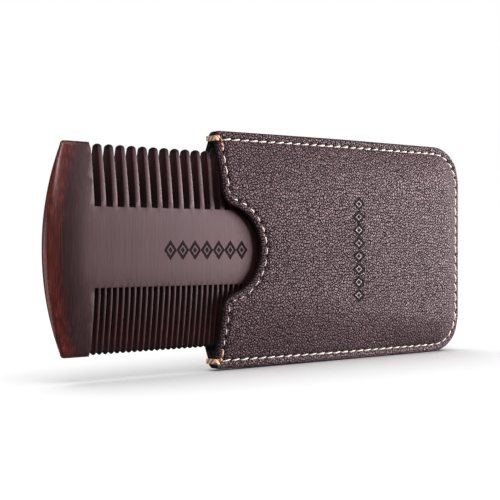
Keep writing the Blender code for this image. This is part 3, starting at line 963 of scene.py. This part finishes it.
# %% Run a tree
def run_tree(name, points, tree, values, links=(), headings=None):
    """Mesh that a Geometry Nodes tree makes from points in millimetres."""
    start_mesh = bpy.data.meshes.new(name + "_start")
    places = [tuple(float(c) * MM for c in point) for point in points]
    start_mesh.from_pydata(places, list(links), [])
    if headings is not None:
        attribute = start_mesh.attributes.new("heading", "FLOAT_VECTOR", "POINT")
        attribute.data.foreach_set("vector", np.asarray(headings, np.float32).ravel())
    host = placed(name + "_start", start_mesh)
    modifier = host.modifiers.new("tree", "NODES")
    modifier.node_group = tree
    for item in tree.interface.items_tree:
        if item.item_type == "SOCKET" and item.in_out == "INPUT" and item.name in values:
            modifier[item.identifier] = values[item.name]
    host.update_tag()
    seen = host.evaluated_get(bpy.context.evaluated_depsgraph_get())
    mesh = bpy.data.meshes.new_from_object(seen)
    mesh.name = name
    bpy.data.objects.remove(host)
    print(name, "has", len(mesh.polygons), "faces")
    return placed(name, mesh)


# %% Sew the seams
THREAD_SINK = 0.02


def on_leather(front, places, above=0.0):
    """Points (x, z) laid on a panel's outer face, down in the stitch channel."""
    x, z = np.array(places).T
    y = wall_y(front, x, z, LEATHER_OUT) + outward(front) * (above + THREAD_SINK - CHANNEL_DEPTH)
    return np.stack([x, y, z], 1)


def sew(name, front, runs, node, seed):
    pairs = [(on_leather(front, run[:-1]), on_leather(front, run[1:])) for run in holes_of(runs)]
    starts = np.concatenate([pair[0] for pair in pairs])
    ends = np.concatenate([pair[1] for pair in pairs])
    values = {"Outward": (0.0, outward(front), 0.0), "Seed": seed, "Thread": cream_thread}
    piece = run_tree(name, (starts + ends) / 2, stitches, values, headings=ends - starts)
    draw_in(piece)
    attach(piece, "sleeve")
    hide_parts(node)


sew("seam_stitches_front", True, seam_runs(), "seam_thread_front", 3)
sew("seam_stitches_back", False, seam_runs(), "seam_thread_back", 4)
sew("mouth_stitches_front", True, mouth_runs(True), "mouth_thread_front", 5)
sew("mouth_stitches_back", False, mouth_runs(False), "mouth_thread_back", 6)

# %% [markdown]
# ## Bartacks
# Where the seam meets the mouth, the thread is wound round both panels' edges several
# times and pulled tight, and its tail dives into the first hole and makes the first
# stitch along the mouth. The winding is a coil of flat loops, swept with the thread's
# section by a second small tree.

# %% Winding tree
WINDING_RADIUS = 0.29
WINDING_INPUTS = {"Path": ("Geometry", None), "Thread Radius": ("Float", WINDING_RADIUS * MM),
                  "Thread": ("Material", None)}


def winding_tree():
    tree = bpy.data.node_groups.new("thread_along_path", "GeometryNodeTree")
    given = named_inputs(tree, WINDING_INPUTS)
    curve = add(tree, "GeometryNodeMeshToCurve", {"Mesh": given["Path"]})
    finished(tree, swept(tree, curve, given["Thread Radius"], 10), given["Thread"])
    return tree


thread_along_path = winding_tree()
print("winding tree has", len(thread_along_path.nodes), "nodes")

# %% Wind the bartacks
WINDING_TURNS = 4
WINDING_LEG = 1.35
WINDING_HEIGHT = 1.9
WINDING_Z = 2.2
WINDING_POINTS = 28
WINDING_WOBBLE = 0.06
FIRST_ANGLE = -0.9
SQUARENESS = 0.35
# (height, distance above the leather) along the tail and along the first mouth stitch
TAIL = [(2.0, 0.05), (2.4, 0.75), (2.9, 0.9), (3.15, 0.2), (3.3, -0.4)]
FIRST_STITCH = [(3.45, -0.4), (3.6, 0.1), (4.0, 0.28), (4.6, 0.32), (5.2, 0.26), (5.6, 0.0),
                (5.75, -0.4)]
TAIL_END, FIRST_STITCH_IN = 1.95, 2.1


def bent(value):
    """Squares a circle: keeps the sign and pushes the size towards one."""
    return math.copysign(abs(value) ** SQUARENESS, value)


def winding_path(upward):
    """Coil round the mouth's edge at the bottom or, turned over, at the top, with its tail."""
    tip, edge = MOUTH_X + WINDING_LEG, MOUTH_X - WINDING_RADIUS * 0.3
    front, back = (float(wall_y(side, tip, STITCH_MARGIN, LEATHER_OUT))
                   + outward(side) * WINDING_RADIUS * 0.7 for side in (True, False))
    points = []
    total = WINDING_TURNS * WINDING_POINTS
    for i in range(total + 1):
        angle = 2 * math.pi * i / WINDING_POINTS + FIRST_ANGLE
        x = mix(edge, tip, 0.5 + bent(math.cos(angle)) / 2)
        y = mix(front, back, 0.5 + bent(math.sin(angle)) / 2)
        z = WINDING_Z + (WINDING_HEIGHT - 2 * WINDING_RADIUS) * (i / total - 0.5)
        points.append((x, y, z + WINDING_WOBBLE * math.sin(angle * 2.3)))
    for step, (z, above) in enumerate(TAIL):
        turned = math.sin(step / (len(TAIL) - 1) * math.pi / 2)
        x = MOUTH_X + mix(WINDING_LEG, TAIL_END, turned)
        points.append(on_leather(True, [(x, z)], above)[0])
    for z, above in FIRST_STITCH:
        points.append(on_leather(True, [(MOUTH_X + FIRST_STITCH_IN, z)], above)[0])
    return [(x, y, HEIGHT - z if upward else z) for x, y, z in points]


for name, node, upward in (("bartack_winding_top", "bartack_top", True),
                           ("bartack_winding_bottom", "bartack_bottom", False)):
    path = winding_path(upward)
    winding = run_tree(name, path, thread_along_path, {"Thread": copper_thread},
                       links=[(i, i + 1) for i in range(len(path) - 1)])
    draw_in(winding)
    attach(winding, "sleeve")
    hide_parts(node)

# %% [markdown]
# ## The comb
# A wooden comb is sawn and then ground: the spine is thick, both edges taper to the
# tooth tips, the two guards are rounded like the edge of a table, and every tooth is
# eased so that it doesn't pull hair. Its outline is drawn tooth by tooth, and two inner
# rings give each edge its small round.

# %% Comb outline
END_BOW = 5.5
TOOTH_ZONE = 72.3
TOOTH_SETBACK = 0.3
GUARD_CORNER = 1.3
ROWS = 9
COARSE = {"count": 20, "root_width": 1.60, "neck_width": 1.15, "root": 11.3,
          "tip": 0.75, "tip_power": 0.5}
FINE = {"count": 39, "root_width": 0.75, "neck_width": 0.52, "root": 10.2,
        "tip": 1.30, "tip_power": 0.9}
TIP_STEPS = (0.35, 0.65, 0.88)
END_POINTS = 44
EASED = (0.0, 0.03, 0.10)


def tooth(middle_u, style, sign, inset):
    """One tooth from its left root round its tip to its right root."""
    root = style["root"] - inset
    tip = COMB_HEIGHT / 2 - TOOTH_SETBACK - inset
    neck = tip - style["tip"] + inset * 0.5
    left = []
    for row in range(ROWS):
        share = row / (ROWS - 1)
        width = mix(style["root_width"], style["neck_width"], share) / 2 - inset
        left.append((-width, mix(root, neck, share)))
    neck_half = style["neck_width"] / 2 - inset
    for step in TIP_STEPS:
        left.append((-neck_half * (1.0 - step ** 2) ** style["tip_power"], mix(neck, tip, step)))
    outline = left + [(0.0, tip)] + [(-u, w) for u, w in reversed(left)]
    return [(middle_u + u, sign * w) for u, w in outline]


def tooth_row(style, sign, inset):
    """Every tooth of one edge, left to right, between the guards' inner corners."""
    gap = (TOOTH_ZONE - style["count"] * style["root_width"]) / (style["count"] + 1)
    first = -TOOTH_ZONE / 2 + gap + style["root_width"] / 2
    root, edge = style["root"] - inset, COMB_HEIGHT / 2 - inset
    wall = [(-TOOTH_ZONE / 2 - inset, sign * mix(edge, root, i / ROWS)) for i in range(ROWS + 1)]
    row = list(wall)
    for number in range(style["count"]):
        row += tooth(first + number * (gap + style["root_width"]), style, sign, inset)
    return row + [(-u, w) for u, w in reversed(wall)]


def end_bow(w):
    """How far the bowed end has drawn back at height w from the middle."""
    half_height = COMB_HEIGHT / 2
    radius = (half_height ** 2 + END_BOW ** 2) / (2 * END_BOW)
    return radius - np.sqrt(radius ** 2 - np.minimum(np.abs(w), half_height) ** 2)


def comb_outline(inset):
    top = COMB_HEIGHT / 2 - GUARD_CORNER
    heights = [mix(-top, top, i / END_POINTS) for i in range(END_POINTS + 1)]
    end = [(COMB_LENGTH / 2 - inset - float(end_bow(w)), w) for w in heights]
    across = COMB_LENGTH / 2 - float(end_bow(top)) - GUARD_CORNER
    upper = arc((across, top), GUARD_CORNER - inset, 0.05, math.pi / 2, 0.25)
    lower = [(u, -w) for u, w in reversed(upper)]
    right = lower + end[1:-1] + upper
    left = [(-u, -w) for u, w in right]
    fine = tooth_row(FINE, -1, inset)
    coarse = list(reversed(tooth_row(COARSE, 1, inset)))
    return fine + right + coarse + left


print("comb outline has", len(comb_outline(0.0)), "points")

# %% [markdown]
# The thickness is one formula: a lens-shaped taper from the spine to the tips, times a
# quarter circle at the bowed ends, times a quarter circle at the tips and along the
# guards' outer edges.

# %% Comb thickness
EDGE_HALF = 1.5
SPINE_FLAT = 6.0
TAPER_POWER = 1.5
TIP_ROUND = 1.3
END_REACH = 11.0
GUARD_ROUND = 0.9
THINNEST = 0.03
END_ROWS = (0.1, 0.3, 0.6, 1.0, 1.5, 2.1, 2.8, 3.6, 4.6, 5.8, 7.2, 8.8, 10.6)
GUARD_ROWS = (0.15, 0.4, 0.7)


def quarter_circle(distance, radius):
    share = np.clip(1.0 - distance / radius, 0.0, 1.0)
    return np.sqrt(1.0 - share ** 2)


def comb_half(u, w):
    """Half the comb's thickness at u along and w above its middle."""
    out = np.clip((np.abs(w) - SPINE_FLAT) / (COMB_HEIGHT / 2 - SPINE_FLAT), 0.0, 1.0)
    half_thick = mix(SPINE_HALF, EDGE_HALF, out ** TAPER_POWER)
    from_end = COMB_LENGTH / 2 - end_bow(w) - np.abs(u)
    toothed = np.abs(u) < TOOTH_ZONE / 2 - 0.01
    tip = np.where(toothed, quarter_circle(COMB_HEIGHT / 2 - TOOTH_SETBACK - np.abs(w), TIP_ROUND),
                   quarter_circle(COMB_HEIGHT / 2 - np.abs(w), GUARD_ROUND))
    return np.maximum(half_thick * quarter_circle(from_end, END_REACH) * tip, THINNEST)


def comb_fill(loop):
    """Points over the spine and guards, close together where they turn round."""
    half_height = COMB_HEIGHT / 2
    points = []
    for w in np.linspace(-half_height, half_height, 45):
        for from_end in END_ROWS:
            u = COMB_LENGTH / 2 - float(end_bow(w)) - from_end
            points += [(u, w), (-u, w)]
    for w in GUARD_ROWS:
        for u in np.arange(-COMB_LENGTH / 2, COMB_LENGTH / 2, 0.8):
            if abs(u) > TOOTH_ZONE / 2 + 0.3:
                points += [(u, half_height - w), (u, w - half_height)]
    points += grid(-TOOTH_ZONE / 2, TOOTH_ZONE / 2, -10.0, 11.0, 2.2)
    return well_inside(points, loop, 0.08)


# %% Make the comb
# In millimetres: where the painted shade in a gap starts and how far it fades, where the
# oiled round end starts and fades, and the same for the dark tips.
GAP_START, GAP_FADE = 10.0, 17.0
END_START, END_FADE = 1.0, 4.0
TIP_START, TIP_FADE = 0.6, 1.8


def make_comb():
    rings = [(inset, comb_outline(inset)) for inset in EASED]

    def half_at(u, w, inset):
        drop = rounding(inset, EASED[-1], EASED[-1])
        return np.maximum(comb_half(u, w) - drop, THINNEST)

    def marks(u, w, inset):
        from_tip = COMB_HEIGHT / 2 - np.abs(w)
        sawn = (np.abs(u) < TOOTH_ZONE / 2 + 0.1) & (inset < 0.04) & (from_tip > GUARD_ROUND)
        depth = 1.0 - smooth((np.abs(w) - GAP_START) / GAP_FADE)
        from_end = COMB_LENGTH / 2 - end_bow(w) - np.abs(u)
        # Painted shade on the tooth walls in the gaps, darkest towards the roots.
        gap = np.where(sawn, 0.55 + 0.45 * depth, 0.0)
        round_end = 1.0 - smooth((from_end - END_START) / END_FADE)
        opened = np.maximum(np.where(sawn, 0.8, 0.0), round_end)
        toothed = np.abs(u) < TOOTH_ZONE / 2
        darker_to_tip = np.where(toothed, 1.0 - smooth((from_tip - TIP_START) / TIP_FADE), 0.0)
        return {"opened_wood": (opened, opened), "saw_gap": (gap, gap), "tooth_tip": (darker_to_tip, darker_to_tip)}

    def half_below(u, w, inset):
        return -half_at(u, w, inset)

    fill = comb_fill(rings[-1][1])
    piece = slab("sandalwood_comb", rings, fill, half_below, half_at, sandalwood, marks)
    for vertex in piece.data.vertices:
        vertex.co += Vector((COMB_X * MM, 0.0, COMB_Z * MM))
    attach(piece, "comb")
    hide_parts("wooden_comb")
    return piece


make_comb()
